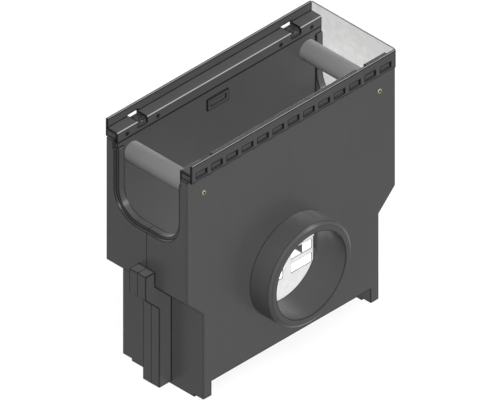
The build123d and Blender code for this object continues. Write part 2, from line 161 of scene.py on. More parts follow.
class FittingSizes(bpy.types.PropertyGroup):
    """Sizes of struts, screws, handle and mould seams."""

    strut_wall: bpy.props.FloatProperty(
        name="Strut wall", description="Wall of the strut pipes", default=0.003, unit="LENGTH"
    )
    screw_shank: bpy.props.FloatProperty(
        name="Screw", description="Diameter over the thread", default=0.006, unit="LENGTH"
    )
    screw_crown: bpy.props.FloatProperty(
        name="Screw crown", description="Diameter of the head", default=0.0086, unit="LENGTH"
    )
    screw_pitch: bpy.props.FloatProperty(
        name="Pitch", description="Rise of the thread in one turn", default=0.0021, unit="LENGTH"
    )
    screw_thread: bpy.props.FloatProperty(
        name="Thread depth", description="From crest to root", default=0.0006, unit="LENGTH"
    )
    screw_head: bpy.props.FloatProperty(
        name="Head height", description="Height of the screw's head", default=0.0026, unit="LENGTH"
    )
    screw_socket: bpy.props.FloatProperty(
        name="Socket", description="Width over the flats of the hexagon socket", default=0.004, unit="LENGTH"
    )
    socket_depth: bpy.props.FloatProperty(
        name="Socket depth", description="Depth of the hexagon socket", default=0.0016, unit="LENGTH"
    )
    wire: bpy.props.FloatProperty(
        name="Handle wire", description="Diameter of the handle's wire", default=0.005, unit="LENGTH"
    )
    wire_bend: bpy.props.FloatProperty(
        name="Handle bend", description="Radius of the outer bends, on the wire's middle", default=0.012,
        unit="LENGTH",
    )
    pivot_bend: bpy.props.FloatProperty(
        name="Pivot bend", description="Radius of the bends beside the lugs", default=0.004, unit="LENGTH"
    )
    wire_head: bpy.props.FloatProperty(
        name="Wire head", description="Height of the heads on the wire's ends", default=0.0015, unit="LENGTH"
    )
    arm_spread: bpy.props.FloatProperty(
        name="Arm spread", description="From the bucket's middle plane to each arm", default=0.0475,
        unit="LENGTH",
    )
    seam_width: bpy.props.FloatProperty(
        name="Seam width", description="Width of the parting seam of the mould", default=0.0018, unit="LENGTH"
    )
    seam_height: bpy.props.FloatProperty(
        name="Seam height", description="How far the parting seam stands proud", default=0.0003, unit="LENGTH"
    )


class FinishColours(bpy.types.PropertyGroup):
    """Colours of the finishes, as linear values."""

    moulding: bpy.props.FloatVectorProperty(
        name="Moulding", description="Mineral-filled moulding", subtype="COLOR",
        default=(0.069, 0.069, 0.069),
    )
    coating: bpy.props.FloatVectorProperty(
        name="Coating", description="Dip coating of the rails", subtype="COLOR",
        default=(0.069, 0.069, 0.069),
    )
    spring: bpy.props.FloatVectorProperty(
        name="Spring steel", description="Oiled clips and studs", subtype="COLOR",
        default=(0.09, 0.09, 0.092),
    )
    pipe: bpy.props.FloatVectorProperty(
        name="Strut pipe", description="Extruded grey pipe", subtype="COLOR",
        default=(0.187, 0.187, 0.187),
    )
    yellow_zinc: bpy.props.FloatVectorProperty(
        name="Yellow zinc", description="Plating of the strut screws", subtype="COLOR",
        default=(0.46, 0.42, 0.27),
    )
    zinc: bpy.props.FloatVectorProperty(
        name="Galvanising", description="Hot-dip zinc on the sheets", subtype="COLOR",
        default=(0.88, 0.88, 0.875),
    )
    plated: bpy.props.FloatVectorProperty(
        name="Plating", description="Plain zinc on wire and rivets", subtype="COLOR",
        default=(0.7, 0.71, 0.72),
    )


class StudioSettings(bpy.types.PropertyGroup):
    """Camera, lamps and floor."""

    azimuth: bpy.props.FloatProperty(
        name="Azimuth", description="Turn of the camera round the box", subtype="ANGLE",
        default=radians(-45),
    )
    elevation: bpy.props.FloatProperty(
        name="Elevation", description="Height of the camera above the horizon", subtype="ANGLE",
        default=radians(35.264),
    )
    aim: bpy.props.FloatVectorProperty(
        name="Aim", description="Point in the middle of the picture", subtype="TRANSLATION",
        default=(-0.0018, 0.0213, 0.2673),
    )
    width: bpy.props.FloatProperty(
        name="Picture width", description="What the picture's width covers", default=0.84875, unit="LENGTH"
    )
    distance: bpy.props.FloatProperty(
        name="Camera distance", description="From the aim to the camera", default=3.0, unit="LENGTH"
    )
    sky: bpy.props.FloatProperty(
        name="Sky", description="Strength of the even light from all sides", default=0.1, min=0.0
    )
    key: bpy.props.FloatProperty(
        name="Key", description="Strength of the main lamp, without shadows", default=3.35, min=0.0
    )
    glint: bpy.props.FloatProperty(
        name="Glint", description="Strength of the lamp that lights up the bends, without shadows",
        default=1.5, min=0.0,
    )
    shade: bpy.props.FloatProperty(
        name="Shade", description="Strength of the lamp that casts the soft shadow", default=0.3, min=0.0
    )
    fill: bpy.props.FloatProperty(
        name="Fill", description="Strength of the lamp from behind, without shadows", default=2.45, min=0.0
    )
    floor: bpy.props.FloatVectorProperty(
        name="Floor", description="Colour of the floor", subtype="COLOR", default=(0.93, 0.93, 0.93)
    )
    floor_size: bpy.props.FloatProperty(
        name="Floor size", description="Side of the square floor", default=24.0, unit="LENGTH"
    )


class Signal:
    """One output of a material's nodes. Sums, differences and products on it add Math nodes."""

    def __init__(self, tree, socket=None):
        self.tree = tree
        self.socket = socket

    def node(self, kind, settings, inputs, output=0):
        """Adds a node, sets its settings first and then gives its sockets their values or links."""
        made = self.tree.nodes.new(kind)
        for name, value in settings.items():
            setattr(made, name, value)
        for key, value in inputs.items():
            if isinstance(value, Signal):
                self.tree.links.new(value.socket, made.inputs[key])
            else:
                made.inputs[key].default_value = value
        return Signal(self.tree, made.outputs[output])

    def math(self, operation, *values, clamp=False):
        """A Math node on values or other outputs."""
        settings = {"operation": operation, "use_clamp": clamp}
        return self.node("ShaderNodeMath", settings, dict(enumerate(values)))

    def __add__(self, other):
        return self.math("ADD", self, other)

    __radd__ = __add__

    def __mul__(self, other):
        return self.math("MULTIPLY", self, other)

    __rmul__ = __mul__

    def __sub__(self, other):
        return self.math("SUBTRACT", self, other)

    def __rsub__(self, other):
        return self.math("SUBTRACT", other, self)

    def unsigned(self):
        """The value without its sign."""
        return self.math("ABSOLUTE", self)

    def swing(self, size):
        """A noise's value as it swings about its middle of 0.5, times the size."""
        return (self - 0.5) * size

    def clamped(self):
        """The same value, kept between 0 and 1."""
        return self.math("ADD", self, 0.0, clamp=True)

    def fade(self, start, end):
        """0 where the value is start, 1 where it is end, with a soft run between."""
        settings = {"interpolation_type": "SMOOTHSTEP"}
        limits = {"From Min": start, "From Max": end, "To Min": 0.0, "To Max": 1.0}
        return self.node("ShaderNodeMapRange", settings, {"Value": self, **limits})

    def blend(self, first, second):
        """The colour first where this value is 0, second where it is 1."""
        settings = {"data_type": "RGBA", "clamp_factor": True}
        return self.node("ShaderNodeMix", settings, {0: self, 6: first, 7: second}, output=2)

    def stretched(self, scale):
        """A vector with each axis multiplied by its own number."""
        return self.node("ShaderNodeVectorMath", {"operation": "MULTIPLY"}, {0: self, 1: scale})

    def noise(self, scale, detail=2.0, roughness=0.5):
        """Smooth noise between 0 and 1 on this vector, with its middle at 0.5."""
        values = {"Scale": scale, "Detail": detail, "Roughness": roughness}
        return self.node("ShaderNodeTexNoise", {}, {"Vector": self, **values}, output="Fac")

    def cells(self, scale, output="Distance"):
        """Cells of a given number per metre: the distance from their middles, or a random colour for each."""
        return self.node("ShaderNodeTexVoronoi", {}, {"Vector": self, "Scale": scale}, output)


class Finish:
    """A material: its Principled shader and the object's coordinates."""

    def __init__(self, name):
        self.material = bpy.data.materials.new(name)
        self.material.use_nodes = True
        tree = self.material.node_tree
        self.shader = next(n for n in tree.nodes if n.type == "BSDF_PRINCIPLED")
        self.start = Signal(tree)
        self.place = self.coordinates("Object")

    def coordinates(self, output):
        """The object's own coordinates, or the way that its surface faces in them."""
        return self.start.node("ShaderNodeTexCoord", {}, {}, output)

    def parts(self, vector):
        """The three parts of a vector, from one node."""
        split = self.start.node("ShaderNodeSeparateXYZ", {}, {0: vector})
        return [Signal(split.tree, split.socket.node.outputs[i]) for i in range(3)]

    def edges(self, radius, least, most):
        """1 along every edge and crease, 0 away from them: how far a normal averaged over the radius leans
        off the surface's own, faded from least to most. The radius stays under the thickness of a sheet."""
        averaged = self.start.node("ShaderNodeBevel", {"samples": 8}, {"Radius": radius}, output="Normal")
        own = self.start.node("ShaderNodeNewGeometry", {}, {}, output="Normal")
        along = self.start.node(
            "ShaderNodeVectorMath", {"operation": "DOT_PRODUCT"}, {0: averaged, 1: own}, output="Value"
        )
        return (1.0 - along).fade(least, most)

    def attribute(self, name, output="Vector"):
        """A vector or a number that the piece's own mesh carries."""
        return self.start.node("ShaderNodeAttribute", {"attribute_name": name}, {}, output)

    def done(self, bump=None, depth=0.0001, strength=0.3, **inputs):
        """Fills the shader's sockets, gives it the bump, and returns the material."""
        for name, value in inputs.items():
            socket = self.shader.inputs[name.replace("_", " ")]
            if isinstance(value, Signal):
                self.start.tree.links.new(value.socket, socket)
            else:
                socket.default_value = value
        if bump is not None:
            values = {"Strength": strength, "Distance": depth, "Height": bump}
            made = self.start.node("ShaderNodeBump", {}, values, output="Normal")
            self.start.tree.links.new(made.socket, self.shader.inputs["Normal"])
        return self.material


def shade(colour, factor):
    """A colour with its strength multiplied, as a socket takes it."""
    return (*(min(1.0, part * factor) for part in colour), 1.0)


def shades(tone, colour, dark, light):
    """The colour with dark times its strength where the tone is 0, and light times it where the tone is 1."""
    return tone.clamped().blend(shade(colour, dark), shade(colour, light))


def moulding_finish(colour, name="moulding", strength=1.0):
    """Mineral-filled moulding: fine speckle, faint clouds and flow streaks, a patchy painted highlight on the
    outer corners, and painted shade as dark lines along edges and creases, except on the heads behind the
    rails' flanges."""
    finish = Finish(name)
    x, y, z = finish.parts(finish.place)
    speckle = finish.place.noise(1500.0, 3.0, 0.65)
    cloud = finish.place.noise(8.0, 4.0)
    flow = finish.place.stretched((70.0, 70.0, 4.0)).noise(1.0, 3.0)
    off_middle = (y - MIDDLE_Y).unsigned()
    faint, full = 0.0038, 0.0004  # how far from a corner's edges the painted highlight begins, and where it is full
    corner = (
        x.unsigned().fade(HALF_LENGTH - faint, HALF_LENGTH - full)
        * off_middle.fade(HALF_WIDTH - faint, HALF_WIDTH - full) * finish.place.noise(60.0, 3.0)
    )
    beside = off_middle.fade(HALF_WIDTH + 0.0002, HALF_WIDTH + 0.0015)
    behind_flange = beside * z.fade(RAIL_HEAD_FOOT, RAIL_HEAD_FOOT + 0.01)
    tone = 0.5 + speckle.swing(0.9) + cloud.swing(0.5) + flow.swing(0.35) + corner * 0.5
    return finish.done(
        # the dark lines along edges and creases are painted shade
        Base_Color=(finish.edges(0.0045, 0.008, 0.05) * (1.0 - behind_flange)).blend(
            shades(tone, colour, 0.86 * strength, 1.14 * strength), shade(colour, 0.15)
        ),
        Roughness=(0.3 + cloud.swing(0.1)).clamped(),
        Specular_IOR_Level=0.1,
        bump=speckle * 0.7 + finish.place.cells(650.0) * 0.5,
        depth=0.00012,
    )


def coating_finish(colour):
    """Dip-coated steel: satin, with orange peel and slow thickness changes. The bends on the outlet's side
    carry a painted highlight, and painted shade darkens the cut faces, the edges, creases and marked cells."""
    finish = Finish("coating")
    peel = finish.place.noise(420.0, 2.0)
    cloud = finish.place.noise(14.0, 3.0)
    tone = 0.5 + cloud.swing(0.8) + peel.swing(0.25)
    along, across, up = finish.parts(finish.coordinates("Normal"))
    # painted shade on the cut faces across the rail's length: its ends and the sides of the windows
    cut = along.unsigned().fade(0.6, 0.9)
    # the bends that face the outlet's side and up get a painted highlight
    bend = (across * up * -2.0).fade(0.45, 0.9)
    marked = finish.attribute("painted_shade", "Fac")
    # painted shade along edges and creases, on the cut faces and in the cells marked for it
    dark = (finish.edges(0.0038, 0.004, 0.035) * (1.0 - bend) + cut + marked).clamped()
    wear_and_painted_highlight = bend.blend(shades(tone, colour, 0.88, 1.12), shade(colour, 4.5))
    return finish.done(
        Base_Color=dark.blend(wear_and_painted_highlight, shade(colour, 0.15)),
        Roughness=(0.3 + cloud.swing(0.1)).clamped(),
        Specular_IOR_Level=0.05,
        bump=peel,
        depth=0.00006,
    )


def spring_finish(colour):
    """Dark oiled spring steel with upright rolling marks, and painted shade as dark lines along edges and
    creases.
    """
    finish = Finish("oiled_spring")
    rolled = finish.place.stretched((2400.0, 2400.0, 60.0)).noise(1.0, 2.0)
    oil = finish.place.noise(180.0, 3.0)
    tone = 0.5 + rolled.swing(0.6) + oil.swing(0.8)
    return finish.done(
        Base_Color=finish.edges(0.0009, 0.004, 0.05).blend(
            shades(tone, colour, 0.7, 1.3), shade(colour, 0.1)
        ),
        Roughness=(0.46 + oil.swing(0.25)).clamped(),
        Metallic=0.5,
        bump=rolled,
        depth=0.00005,
    )


def pipe_finish(colour):
    """Extruded pipe: fine die lines along its length, soft clouds and a little rubbing."""
    finish = Finish("strut_pipe")
    lines = finish.place.stretched((1300.0, 6.0, 1300.0)).noise(1.0, 2.0)
    cloud = finish.place.noise(22.0, 3.0)
    wear_and_painted_highlight = finish.place.stretched((160.0, 420.0, 160.0)).noise(1.0, 4.0).fade(0.62, 0.75)
    tone = 0.45 + lines.swing(0.5) + cloud.swing(0.5) + wear_and_painted_highlight * 0.25
    return finish.done(
        Base_Color=shades(tone, colour, 0.86, 1.14),
        Roughness=(0.7 + cloud.swing(0.15) + wear_and_painted_highlight * 0.1).clamped(),
        Specular_IOR_Level=0.08,
        bump=lines,
        depth=0.00008,
    )


def yellow_zinc_finish(colour):
    """Yellow passivated zinc: the film shifts between straw and a faint green and rose. Edges and the inside
    of the socket are dark: painted shade."""
    finish = Finish("straw_zinc")
    film = finish.place.noise(260.0, 3.0)
    drift = finish.place.noise(520.0, 2.0)
    warm = shade((colour[0] * 1.04, colour[1] * 0.92, colour[2] * 0.84), 1.0)
    cool = shade((colour[0] * 0.93, colour[1] * 1.03, colour[2] * 0.95), 1.0)
    return finish.done(
        Base_Color=(finish.edges(0.0016, 0.004, 0.04) + finish.attribute("painted_shade", "Fac")).clamped().blend(
            film.fade(0.3, 0.7).blend(warm, cool), shade(colour, 0.02)
        ),
        Roughness=(0.36 + drift.swing(0.2)).clamped(),
        Metallic=0.3,
        bump=drift,
        depth=0.00004,
    )


def slot_walls(finish):
    """1 on the cut walls of the slots in the bucket's long sides: on what faces along or up within the sheet
    of those sides, away from the bucket's ends and its rim. The galvanised finish paints shade there."""
    low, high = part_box("bucket_shell")
    half = (high.y - low.y) / 2
    x, y, z = finish.parts(finish.place)
    across = finish.parts(finish.coordinates("Normal"))[1]
    off_middle = (y - (high.y + low.y) / 2).unsigned()
    beyond = off_middle.fade(half + 0.0001, half + 0.0002)
    side = off_middle.fade(half - 0.0024, half - 0.0018) * (1.0 - beyond)
    far, near = 0.006, 0.005  # the fades to an end and to the rim run between these distances from them
    end = x.unsigned().fade(high.x - far, high.x - near)
    rim = z.fade(high.z - far, high.z - near)
    return (1.0 - across.unsigned().fade(0.3, 0.6)) * side * (1.0 - end) * (1.0 - rim)


def galvanised_finish(colour):
    """Hot-dip galvanised sheet: crystals of zinc, each with its own tone and gloss, under a faint bloom.
    Painted shade darkens the cut edges and creases, the walls of the bucket's slots and the top edge of the
    end plate."""
    finish = Finish("galvanised")
    bent = finish.place.noise(35.0, 2.0) * 0.02
    wander = finish.start.node("ShaderNodeCombineXYZ", {}, {0: bent, 1: bent, 2: bent})
    place = finish.start.node("ShaderNodeVectorMath", {"operation": "ADD"}, {0: finish.place, 1: wander})
    large, _, gloss = finish.parts(place.cells(110.0, output="Color"))
    small = finish.parts(place.cells(300.0, output="Color"))[1]
    bloom = finish.place.noise(30.0, 4.0)
    tone = 0.55 + large.swing(0.75) + small.swing(0.3) + bloom.swing(0.5)
    # painted shade along the top edge of the end plate
    top_edge = finish.parts(finish.place)[2].fade(PLATE_TOP - 0.0014, PLATE_TOP - 0.0004)
    dark = (finish.edges(0.0014, 0.004, 0.05) + top_edge + slot_walls(finish)).clamped()
    return finish.done(
        Base_Color=dark.blend(shades(tone, colour, 0.9, 1.02), shade(colour, 0.12)),
        Roughness=(0.46 + gloss.swing(0.22)).clamped(),
        bump=large * 0.5 + small * 0.3,
        depth=0.00006,
        strength=0.25,
    )


def plated_finish(colour, name, drawn=False):
    """Plain zinc plating. On drawn wire its lines follow the length, from the mesh's own lay."""
    finish = Finish(name)
    if drawn:
        place = finish.attribute("lay").stretched((900.0, 900.0, 20.0))
    else:
        place = finish.place.stretched((700.0, 700.0, 700.0))
    lines = place.noise(1.0, 3.0)
    cloud = finish.place.noise(60.0, 3.0)
    tone = 0.5 + lines.swing(0.5) + cloud.swing(0.6)
    return finish.done(
        Base_Color=shades(tone, colour, 0.82, 1.12),
        Roughness=(0.34 + cloud.swing(0.2)).clamped(),
        Metallic=0.8,
        bump=lines,
        depth=0.00005,
    )


def rounded(points, radius, steps=6, closed=False):
    """The polyline with its corners rounded. At a corner P that turns by an angle a, the arc runs from
    A = P - r tan(a/2) along the way in to B = P + r tan(a/2) along the way out, and its points are
    ((1-s)^2 A + 2 w s (1-s) P + s^2 B) / ((1-s)^2 + 2 w s (1-s) + s^2), with w = cos(a/2)."""
    points = np.asarray(points, float)
    before, after = np.roll(points, 1, 0), np.roll(points, -1, 0)
    if not closed:
        before[0], after[-1] = points[0] - (points[1] - points[0]), points[-1] + (points[-1] - points[-2])
    way_in, way_out = points - before, after - points
    way_in /= np.linalg.norm(way_in, axis=1, keepdims=True)
    way_out /= np.linalg.norm(way_out, axis=1, keepdims=True)
    turn = np.arccos(np.clip((way_in * way_out).sum(1), -1.0, 1.0))
    reach = (np.broadcast_to(radius, turn.shape) * np.tan(turn / 2))[:, None]
    first, last = (points - reach * way_in)[:, None], (points + reach * way_out)[:, None]
    s = np.linspace(0.0, 1.0, steps)[None, :, None]
    pull = 2 * np.cos(turn / 2)[:, None, None] * s * (1 - s)
    arcs = ((1 - s) ** 2 * first + pull * points[:, None] + s**2 * last) / ((1 - s) ** 2 + pull + s**2)
    line = arcs.reshape(-1, points.shape[1])
    keep = np.r_[True, np.linalg.norm(np.diff(line, axis=0), axis=1) > 1e-7]
    return line[keep]


def skin(name, rings, ends, finish, body="box", lay=None, painted_shade=0):
    """A mesh over rings of points, an array of rings by points by 3. Each ring closes on itself. With ends
    "loop" the last ring meets the first, and with "caps" a fan to its middle closes each end. Faces whose
    summed signed volume comes out negative are turned round, so that they point outwards. The mesh carries
    lay, a place along a wire for each point, and painted_shade, which is 1 on that many first rings, where the
    finish paints shade."""
    rows, columns = rings.shape[:2]
    index = np.arange(rows * columns).reshape(rows, columns)
    grid = np.vstack([index, index[:1]]) if ends == "loop" else index
    here, beyond = grid[:-1], grid[1:]
    quads = np.stack([here, np.roll(here, -1, 1), np.roll(beyond, -1, 1), beyond], -1).reshape(-1, 4)
    points = rings.reshape(-1, 3)
    fans = np.empty((0, 3), int)
    if ends == "caps":
        points = np.vstack([points, rings[0].mean(0), rings[-1].mean(0)])
        pole = np.full(columns, rows * columns)
        first = np.stack([np.roll(index[0], -1), index[0], pole], -1)
        fans = np.vstack([first, np.stack([index[-1], np.roll(index[-1], -1), pole + 1], -1)])
    triangles = np.vstack([quads[:, [0, 1, 2]], quads[:, [0, 2, 3]], fans])
    corners = points[triangles]
    if np.einsum("ij,ij->i", corners[:, 0], np.cross(corners[:, 1], corners[:, 2])).sum() < 0:
        quads, fans = quads[:, ::-1], fans[:, ::-1]
    mesh = bpy.data.meshes.new(name)
    mesh.from_pydata(points.tolist(), [], quads.tolist() + fans.tolist())
    mesh.set_sharp_from_angle(angle=radians(35))
    mesh.polygons.foreach_set("use_smooth", np.ones(len(mesh.polygons), bool))
    if lay is not None:
        rest = np.zeros((len(points) - rows * columns, 3))
        carried = mesh.attributes.new("lay", "FLOAT_VECTOR", "POINT")
        carried.data.foreach_set("vector", np.vstack([lay.reshape(-1, 3), rest]).ravel())
    if painted_shade:
        dark = np.arange(len(points)) < painted_shade * columns
        dark[rows * columns] = True
        mesh.attributes.new("painted_shade", "FLOAT", "POINT").data.foreach_set("value", dark.astype(float))
    return mounted(mesh, finish, body)


def placed(name, data):
    """A new object in the scene, at the origin."""
    made = bpy.data.objects.new(name, data)
    bpy.context.scene.collection.objects.link(made)
    return made


def mounted(mesh, finish, body="box"):
    """The mesh as a piece of its own, with its finish, on the body that carries it."""
    mesh.update()
    piece = placed(mesh.name, mesh)
    mesh.materials.append(bpy.data.materials[finish])
    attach(piece, body)
    return piece


def pierced(name, outer, inner, kept, marked):
    """A mesh of a sheet between two grids of points, arrays of rows by columns by 3, and each face's mark:
    that of its cell, and 0 on the rims. A cell of the grids is left out where kept is false, and a wall from
    grid to grid closes every rim. The faces are turned round where their summed signed volume comes out
    negative."""
    rows, columns = outer.shape[:2]
    index = np.arange(rows * columns).reshape(rows, columns)
    face = np.stack([index[:-1, :-1], index[1:, :-1], index[1:, 1:], index[:-1, 1:]], -1)[kept]
    cells = np.pad(kept, 1).astype(int)
    faces = [face, face[:, ::-1] + index.size]
    for step, turn, ahead in ((np.diff(cells, axis=0)[:, 1:-1], 1, (0, 1)),
                              (np.diff(cells, axis=1)[1:-1], -1, (1, 0))):
        row, column = np.nonzero(step)
        first, last = index[row, column], index[row + ahead[0], column + ahead[1]]
        wall = np.stack([first, last, last + index.size, first + index.size], -1)
        onward = (step[row, column] * turn > 0)[:, None]
        faces.append(np.where(onward, wall, wall[:, ::-1]))
    faces = np.vstack(faces)
    marks = np.zeros(len(faces))
    marks[:2 * len(face)] = np.tile(marked[kept], 2)
    used, faces = np.unique(faces, return_inverse=True)
    points = np.vstack([outer.reshape(-1, 3), inner.reshape(-1, 3)])[used]
    faces = faces.reshape(-1, 4)
    corners = points[faces]
    across = np.cross(corners[:, 2] - corners[:, 0], corners[:, 3] - corners[:, 1])
    if np.einsum("ij,ij->", corners.mean(1), across) < 0:
        faces = faces[:, ::-1]
    mesh = bpy.data.meshes.new(name)
    mesh.from_pydata(points.tolist(), [], faces.tolist())
    return mesh, marks


def around(columns):
    """The angles of a full turn in even steps, the last one a step before the first."""
    return np.linspace(0.0, 2 * pi, columns, endpoint=False)


def turned(line, start, direction, columns):
    """Rings of a turned piece. The profile's points are (t, r), and at the angle f the surface is
    start + t axis + r (cos f e1 + sin f e2), where e1 and e2 stand square to the axis, which is +Y or -Y."""
    along, radius = np.asarray(line).T
    angle = around(columns)
    rings = np.empty((len(along), columns, 3))
    rings[..., 0] = start[0] + radius[:, None] * np.cos(angle)
    rings[..., 1] = start[1] + direction * along[:, None]
    rings[..., 2] = start[2] + radius[:, None] * np.sin(angle)
    return rings


def middle(node):
    """The middle of a CAD node's box, and half its extents."""
    low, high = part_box(node)
    return (low + high) / 2, (high - low) / 2


def outer_end(node, side):
    """Where a fitting that runs along Y starts, at its end nearer to that side, its length and its radius."""
    centre, half = middle(node)
    return (centre.x, centre.y + side * half.y, centre.z), 2 * half.y, half.z


class INLETBOX_OT_finishes(bpy.types.Operator):
    """Makes the finishes and gives each carried-over CAD node its own"""

    bl_idname = "inletbox.finishes"
    bl_label = "Finishes"

    def execute(self, context):
        colours = context.scene.inlet_box_colours
        moulding_finish(colours.moulding)
        moulding_finish(colours.moulding, "mould_seam", 0.42)
        coating_finish(colours.coating)
        spring_finish(colours.spring)
        pipe_finish(colours.pipe)
        yellow_zinc_finish(colours.yellow_zinc)
        galvanised_finish(colours.zinc)
        plated_finish(colours.plated, "plated")
        plated_finish(colours.plated, "drawn_wire", drawn=True)
        of_slot = {
            "moulded_box": "moulding", "coated_steel": "coating", "spring_steel": "oiled_spring",
            "grey_pipe": "strut_pipe", "yellow_zinc": "straw_zinc", "galvanised_sheet": "galvanised",
            "rivet_steel": "plated", "handle_wire": "drawn_wire",
        }
        for part in frame["record"]["subparts"]:
            node = frame["nodes"][part["node"]]
            material = bpy.data.materials[of_slot[part["material_slot"]]]
            for place in node.material_slots:
                place.material = material
        return {"FINISHED"}


class INLETBOX_OT_rails(bpy.types.Operator):
    """Gives both edge rails their flange, with its windows, scallops and lock reliefs"""

    bl_idname = "inletbox.rails"
    bl_label = "Edge rails"

    def flange(self, name, side, sizes):
        """The flange at station x and height z: its outer face lies at y = Y and its inner face a sheet
        behind. Within a radius r of the top T both draw in by r - sqrt(r^2 - (z - T + r)^2). The lower edge
        lies at z = B + h max(0, 1 - (2 d / l)^2), with d the distance to the nearest window's middle. A
        narrow run of cells along each cut edge and under the rounding is marked for painted shade, a dark
        line.

        From below, the rows of points lie at the lower edge, a line above it, a line below the window, on its
        sill and its top, a line above it, on the relief's top and a step above that, a line below the
        rounding, and along the rounding. A row of cells has the number of the points below it."""
        sill_row, relief_row, round_row = 3, 6, 9
        low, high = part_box(name)
        outer = high.y if side > 0 else low.y
        wall_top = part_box("box_body")[1].z
        half = sizes.window_length / 2
        each_way = int((high.x - sizes.margin - half) / sizes.pitch)
        places = np.arange(-each_way, each_way + 1) * sizes.pitch
        locks = places[[1, -2]]
        step, line = 0.00002, sizes.edge_line  # the step makes the relief's walls square
        x = np.concatenate([
            np.add.outer(places, np.linspace(-0.5, 0.5, 9) * sizes.scallop_length).ravel(),
            np.add.outer(places, (-half - line, -half, half, half + line)).ravel(),
            np.add.outer(locks, (-half - step, half + step)).ravel(),
            (low.x, low.x + line, high.x - line, high.x),
        ])
        x = np.unique(np.round(x, 7))
        off = np.abs(np.subtract.outer(x, places)).min(1)
        hollow = np.clip(1 - (2 * off / sizes.scallop_length) ** 2, 0, 1)
        lower = high.z - sizes.height + sizes.scallop_rise * hollow
        window = wall_top + sizes.window_rise
        relief = wall_top + sizes.relief_height
        turn = np.linspace(0.0, pi / 2, 5)
        draw = sizes.top_round * (1 - np.cos(turn))
        rise = high.z - sizes.top_round + sizes.top_round * np.sin(turn)
        sill = window - sizes.window_height
        levels = np.r_[sill - line, sill, window, window + line, relief, relief + step, rise[0] - line, rise]
        z = np.hstack([np.stack([lower, lower + line], -1), np.broadcast_to(levels, (len(x), len(levels)))])
        drawn = np.r_[np.zeros(z.shape[1] - len(draw)), draw]
        at_lock = np.abs(np.subtract.outer(x, locks)).min(1) < half + step / 2
        recess = np.zeros_like(z)
        recess[:, sill_row + 1:relief_row + 1] = sizes.relief_depth * at_lock[:, None]
        station = np.broadcast_to(x[:, None], z.shape)
        faces = [np.stack([station, np.broadcast_to(outer - side * drawn, z.shape), z], -1),
                 np.stack([station, outer - side * (sizes.sheet - drawn - recess), z], -1)]
        kept = np.ones((len(x) - 1, z.shape[1] - 1), bool)
        between = (x[1:] + x[:-1]) / 2
        off = np.abs(np.subtract.outer(between, places)).min(1)
        kept[:, sill_row] = off > half
        # cells marked for painted shade: dark lines along the lower edge, under the rounding, round each
        # window and at the rail's ends
        marked = np.zeros(kept.shape)
        marked[:, (0, round_row - 1)] = 1.0
        marked[off < half + line, sill_row - 1:sill_row + 2] = 1.0
        marked[(between < low.x + line) | (between > high.x - line)] = 1.0
        return *pierced(name.replace("edge_", ""), *faces, kept, marked), outer - side * sizes.sheet

    def execute(self, context):
        sizes = context.scene.inlet_box_rails
        for side_name, side in SIDES.items():
            node = f"edge_rail_{side_name}"
            mesh, marks, inner = self.flange(node, side, sizes)
            # the node's ledge and lip, cut from its flange a hair inside it, and first in the faces' order
            rail = bmesh.new()
            rail.from_mesh(frame["nodes"][node].data)
            bmesh.ops.remove_doubles(rail, verts=rail.verts, dist=1e-6)
            bmesh.ops.bisect_plane(
                rail, geom=rail.verts[:] + rail.edges[:] + rail.faces[:], dist=1e-7,
                plane_co=(0.0, inner - side * 0.00001, 0.0), plane_no=(0.0, side, 0.0), clear_outer=True,
            )
            bmesh.ops.holes_fill(rail, edges=[edge for edge in rail.edges if edge.is_boundary])
            carried = bpy.data.meshes.new("carried_rail")
            rail.to_mesh(carried)
            rail.clear()
            rail.from_mesh(carried)
            rail.from_mesh(mesh)
            rail.to_mesh(mesh)
            rail.free()
            marks = np.r_[np.zeros(len(carried.polygons)), marks]
            bpy.data.meshes.remove(carried)
            mesh.attributes.new("painted_shade", "FLOAT", "FACE").data.foreach_set("value", marks)
            piece = mounted(mesh, "coating")
            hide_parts(node)
        return {"FINISHED"}


class INLETBOX_OT_outlet(bpy.types.Operator):
    """Turns the round outlet with its shoulder, chamfered mouth and straight bore"""

    bl_idname = "inletbox.outlet"
    bl_label = "Outlet"

    def execute(self, context):
        sizes = context.scene.inlet_box_outlet
        start, length, radius = outer_end("outlet_spigot", -1)
        shoulder = length - sizes.tail_length
        corners = [
            (0.0, sizes.bore / 2), (0.0, sizes.face / 2), (sizes.chamfer, radius), (shoulder, radius),
            (shoulder, sizes.tail / 2), (length, sizes.tail / 2), (length, sizes.bore / 2),
        ]
        rings = turned(rounded(corners, sizes.edge, closed=True), start, 1, columns=192)
        piece = skin("outlet_ring", rings, "loop", "moulding")
        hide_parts("outlet_spigot")
        return {"FINISHED"}


class INLETBOX_OT_struts(bpy.types.Operator):
    """Makes the two cross struts as round pipes between the long walls"""

    bl_idname = "inletbox.struts"
    bl_label = "Struts"

    def execute(self, context):
        wall = context.scene.inlet_box_fittings.strut_wall
        for end in ENDS:
            start, length, radius = outer_end(f"strut_tube_{end}", -1)
            corners = [(0.0, radius - wall), (0.0, radius), (length, radius), (length, radius - wall)]
            rings = turned(rounded(corners, SMALL_ROUND, 3, closed=True), start, 1, columns=96)
            piece = skin(f"strut_pipe_{end}", rings, "loop", "strut_pipe")
            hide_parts(f"strut_tube_{end}")
        return {"FINISHED"}


